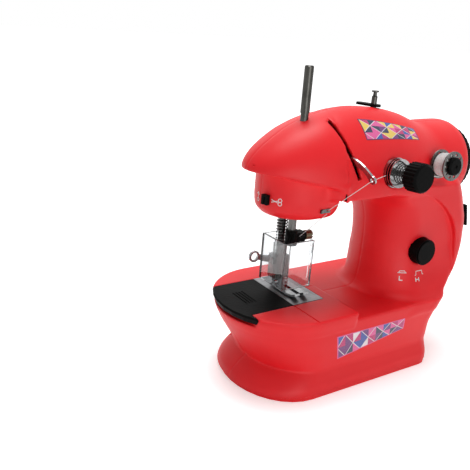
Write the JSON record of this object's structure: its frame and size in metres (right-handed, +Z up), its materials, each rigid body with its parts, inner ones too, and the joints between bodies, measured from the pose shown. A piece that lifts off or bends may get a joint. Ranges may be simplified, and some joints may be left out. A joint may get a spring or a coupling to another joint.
{
  "type": "toy sewing machine",
  "caption": "Small battery sewing machine with a domed arm, clear needle guard, thread tension dial, spool pin and handwheel; needle, presser and controls move.",
  "frame": {"origin": "on the table, under the underside of the base plate, on the parting plane of the two shells", "axes": "+X from the needle to the handwheel, +Y to the back, +Z up"},
  "size_m": [0.2027, 0.1087, 0.2147],
  "materials": {
    "red_plastic": "satin moulded plastic",
    "black_plastic": "satin moulded plastic",
    "steel": "brushed",
    "chrome": "polished",
    "spring_wire": "drawn wire",
    "brass": "turned",
    "white_plastic": "moulded",
    "rubber": "matt",
    "thread": "twisted thread",
    "clear_plastic": "clear acrylic"
  },
  "bodies": {
    "frame": {"front_shell": "red_plastic", "rear_shell": "red_plastic", "base_plate": "red_plastic", "battery_cells": "steel", "rubber_feet": "rubber", "shell_screws": "steel", "needle_plate": "steel", "head_bracket": "steel", "shaft_bearings": "brass", "motor": "chrome", "motor_plate": "steel", "drive_belt": "rubber", "bobbin_case": "steel", "spool_pin": "steel", "guide_plate": "black_plastic", "guide_post": "steel", "tension_post": "steel", "tension_discs": "chrome", "tension_spring": "spring_wire", "bobbin_spindle": "black_plastic", "spindle_cap": "black_plastic", "speed_switch": "black_plastic", "power_switch": "black_plastic", "jacks": "black_plastic", "thread_cutter": "black_plastic", "head_guide": "steel", "thread_to_tension": "thread", "thread_to_take_up": "thread", "thread_to_guide": "thread", "thread_to_needle": "thread"},
    "drive": {"main_shaft": "steel", "crank_disc": "steel", "drive_gear": "white_plastic", "upper_pulley": "white_plastic", "handwheel": "black_plastic"},
    "rotor": {"motor_pinion": "brass"},
    "lower": {"lower_shaft": "steel", "lower_pulley": "white_plastic", "hook": "chrome"},
    "needle_slide": {"needle_bar": "steel", "drive_yoke": "steel", "needle_clamp": "black_plastic", "clamp_screw": "brass", "needle": "chrome"},
    "take_up": {"take_up_lever": "chrome"},
    "feed": {"feed_dog": "steel"},
    "presser": {"presser_bar": "steel", "presser_spring": "spring_wire", "presser_holder": "steel", "presser_foot": "chrome", "needle_guard": "clear_plastic"},
    "lifter": {"lifter_lever": "chrome"},
    "tension_nut": {"tension_cap": "steel"},
    "tension_dial": {"tension_knob": "black_plastic"},
    "reel": {"bobbin": "chrome", "bobbin_thread": "thread"},
    "button": {"speed_button": "black_plastic"},
    "rocker": {"power_rocker": "black_plastic"},
    "cover": {"slide_cover": "black_plastic"},
    "door": {"battery_door": "red_plastic"}
  },
  "joints": [
    {"name": "handwheel_turn", "type": "hinge", "parent": "frame", "child": "drive", "pos_m": [0, 0.004, 0.146], "axis": [1, 0, 0], "continuous": true},
    {"name": "motor_turn", "type": "hinge", "parent": "frame", "child": "rotor", "pos_m": [0.09, 0.004, 0.118], "axis": [1, 0, 0], "continuous": true},
    {"name": "lower_turn", "type": "hinge", "parent": "frame", "child": "lower", "pos_m": [0, 0.004, 0.036], "axis": [1, 0, 0], "continuous": true},
    {"name": "needle_stroke", "type": "slide", "parent": "frame", "child": "needle_slide", "axis": [0, 0, 1], "range_m": [-0.02, 0.004]},
    {"name": "take_up_swing", "type": "hinge", "parent": "frame", "child": "take_up", "pos_m": [-0.0146, 0.016, 0.15725], "axis": [-0.9317, 0, -0.3633], "range_deg": [-7.05, 1.45]},
    {"name": "feed_stroke", "type": "slide", "parent": "frame", "child": "feed", "axis": [0, 1, 0], "range_m": [-0.0021, 0.00045]},
    {"name": "presser_lift", "type": "slide", "parent": "frame", "child": "presser", "axis": [0, 0, 1], "range_m": [0, 0.00605], "deforming": ["presser_spring"]},
    {"name": "lifter_turn", "type": "hinge", "parent": "presser", "child": "lifter", "pos_m": [-0.0345, 0.0206, 0.078], "axis": [0, 1, 0], "range_deg": [0, 90]},
    {"name": "tension_slide", "type": "slide", "parent": "frame", "child": "tension_nut", "axis": [0, -0.9976, 0.0698], "range_m": [-0.00071, 0.00071]},
    {"name": "tension_turn", "type": "hinge", "parent": "tension_nut", "child": "tension_dial", "pos_m": [0.02, -0.03323, 0.15], "axis": [0, -0.9976, 0.0698], "range_deg": [-360, 360]},
    {"name": "reel_turn", "type": "hinge", "parent": "frame", "child": "reel", "pos_m": [0.0668, -0.02823, 0.152], "axis": [0, -0.9976, 0.0698], "continuous": true},
    {"name": "button_press", "type": "slide", "parent": "frame", "child": "button", "axis": [0, 1, 0], "range_m": [0, 0.0025], "stiffness_N_per_m": 400},
    {"name": "rocker_tip", "type": "hinge", "parent": "frame", "child": "rocker", "pos_m": [0.11013, -0.022, 0.10752], "axis": [0, 1, 0], "range_deg": [-10, 10]},
    {"name": "cover_slide", "type": "slide", "parent": "frame", "child": "cover", "axis": [-1, 0, 0], "range_m": [0, 0.03]},
    {"name": "door_slide", "type": "slide", "parent": "frame", "child": "door", "axis": [0, 1, 0], "range_m": [0, 0.04]}
  ],
  "couplings": [
    {"joint": "motor_turn", "follows": "handwheel_turn", "ratio": -4.8333},
    {"joint": "lower_turn", "follows": "handwheel_turn", "ratio": 1},
    {"joint": "take_up_swing", "follows": "needle_stroke", "rad_per_m": 6.1087},
    {"joint": "feed_stroke", "follows": "needle_stroke", "ratio": 0.1},
    {"joint": "presser_lift", "follows": "lifter_turn", "m_per_rad": 0.00382},
    {"joint": "tension_slide", "follows": "tension_turn", "m_per_rad": 0.00011141}
  ]
}
